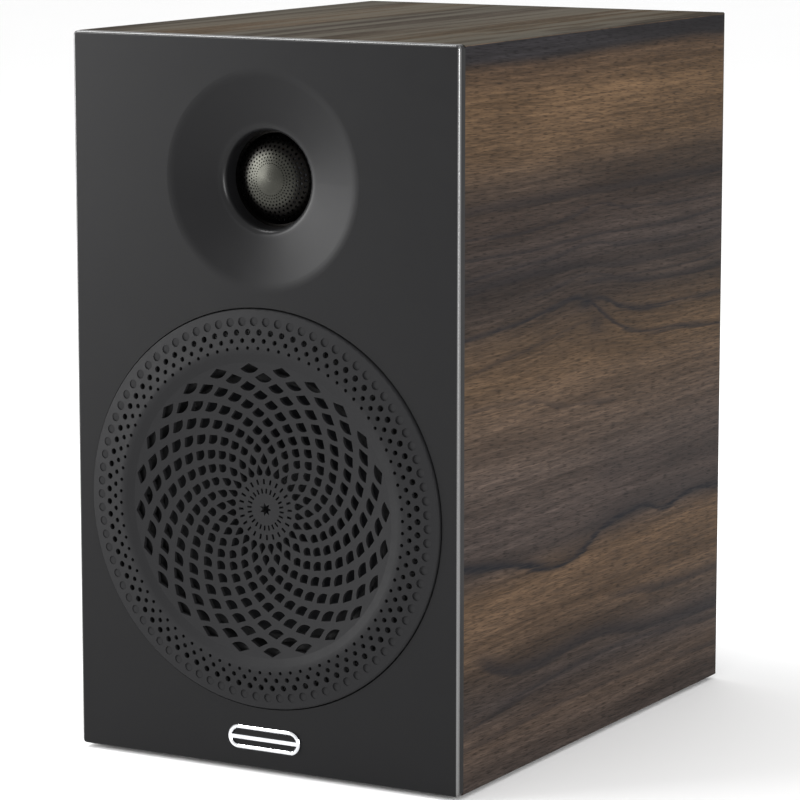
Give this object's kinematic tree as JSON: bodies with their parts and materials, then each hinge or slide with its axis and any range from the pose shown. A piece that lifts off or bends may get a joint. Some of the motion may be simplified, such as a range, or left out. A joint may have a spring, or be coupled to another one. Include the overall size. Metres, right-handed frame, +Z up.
{
  "type": "bookshelf speaker",
  "caption": "Two-way rear-ported bookshelf speaker: walnut box, satin black front, perforated bass driver cover, dome tweeter in a shallow dish, recessed binding posts.",
  "frame": {"origin": "middle of the whole outline, on the surface the feet stand on", "axes": "+Z up, the front faces -Y, +X to the right as a listener faces the front"},
  "size_m": [0.2, 0.274, 0.334],
  "materials": {
    "walnut_wrap": "satin vinyl wrap on fibreboard",
    "fibreboard": "raw",
    "back_black": "black textured wrap on fibreboard",
    "fascia_black": "satin moulded",
    "driver_black": "satin moulded",
    "basket_black": "satin powder coat",
    "steel": "zinc plated",
    "screw_black": "black oxide",
    "ferrite": "sintered",
    "copper": "enamelled wire",
    "cone_grey": "mineral-filled polypropylene",
    "soft_rubber": "matte",
    "foam": "open-cell",
    "wadding": "polyester",
    "spider_cloth": "woven, resin treated",
    "kapton": "film",
    "dome_grey": "anodised",
    "gunmetal": "dark plated",
    "badge_chrome": "polished",
    "brass_plated": "gold plated",
    "red_plastic": "moulded",
    "black_plastic": "moulded",
    "hardboard": "hardboard",
    "capacitor_film": "film wrapped",
    "ceramic": "cement",
    "lead_sheath": "insulated",
    "tinsel": "braided"
  },
  "bodies": {
    "cabinet": {"front_fascia": "fascia_black", "inner_baffle": "fibreboard", "left_panel": "walnut_wrap", "right_panel": "walnut_wrap", "top_panel": "walnut_wrap", "bottom_panel": "walnut_wrap", "back_panel": "back_black", "window_brace": "fibreboard", "side_wadding": "wadding", "rubber_feet": "soft_rubber", "grille_magnets": "steel", "badge": "badge_chrome", "driver_grille": "driver_black", "woofer_basket": "basket_black", "woofer_gasket": "foam", "woofer_top_plate": "steel", "woofer_magnet": "ferrite", "woofer_back_plate": "steel", "terminal_strip": "hardboard", "tinsel_leads": "tinsel", "woofer_screws": "screw_black", "tweeter_lens": "gunmetal", "tweeter_faceplate": "basket_black", "tweeter_top_plate": "steel", "tweeter_magnet": "ferrite", "tweeter_yoke": "steel", "tweeter_chamber": "black_plastic", "tweeter_screws": "screw_black", "port_tube": "driver_black", "terminal_cup": "driver_black", "cup_gasket": "foam", "cup_screws": "screw_black", "post_studs": "brass_plated", "post_bushes": "black_plastic", "post_nuts": "steel", "solder_lugs": "steel", "crossover_board": "hardboard", "board_screws": "steel", "low_pass_coil": "copper", "high_pass_coil": "copper", "capacitors": "capacitor_film", "resistors": "ceramic", "input_leads": "lead_sheath", "driver_leads": "lead_sheath"},
    "woofer_cone": {"woofer_cone": "cone_grey", "dust_cap": "cone_grey", "coil_former": "kapton", "voice_coil": "copper", "woofer_surround": "soft_rubber", "spider": "spider_cloth"},
    "tweeter_dome": {"tweeter_dome": "dome_grey", "tweeter_coil": "copper", "dome_surround": "soft_rubber"},
    "red_washer": {"red_clamp_washer": "brass_plated"},
    "black_washer": {"black_clamp_washer": "brass_plated"},
    "red_knob": {"red_knob": "red_plastic", "red_knob_insert": "brass_plated"},
    "black_knob": {"black_knob": "black_plastic", "black_knob_insert": "brass_plated"}
  },
  "joints": [
    {"name": "woofer_cone_travel", "type": "slide", "parent": "cabinet", "child": "woofer_cone", "axis": [0, -1, 0], "range_m": [-0.005, 0.005], "stiffness_N_per_m": 1000, "deforming": ["woofer_surround", "spider", "tinsel_leads"]},
    {"name": "tweeter_dome_travel", "type": "slide", "parent": "cabinet", "child": "tweeter_dome", "axis": [0, -1, 0], "range_m": [-0.0004, 0.0004], "stiffness_N_per_m": 60, "deforming": ["dome_surround"]},
    {"name": "red_washer_travel", "type": "slide", "parent": "cabinet", "child": "red_washer", "axis": [0, 1, 0], "range_m": [0, 0.004]},
    {"name": "red_knob_turn", "type": "hinge", "parent": "red_washer", "child": "red_knob", "pos_m": [0.00953, 0.119, 0.074], "axis": [0, 1, 0], "range_deg": [0, 1441]},
    {"name": "black_washer_travel", "type": "slide", "parent": "cabinet", "child": "black_washer", "axis": [0, 1, 0], "range_m": [0, 0.004]},
    {"name": "black_knob_turn", "type": "hinge", "parent": "black_washer", "child": "black_knob", "pos_m": [-0.00953, 0.119, 0.074], "axis": [0, 1, 0], "range_deg": [0, 1441]}
  ],
  "couplings": [
    {"joint": "red_knob_turn", "follows": "red_washer_travel", "rad_per_m": 6283.2},
    {"joint": "black_knob_turn", "follows": "black_washer_travel", "rad_per_m": 6283.2}
  ]
}
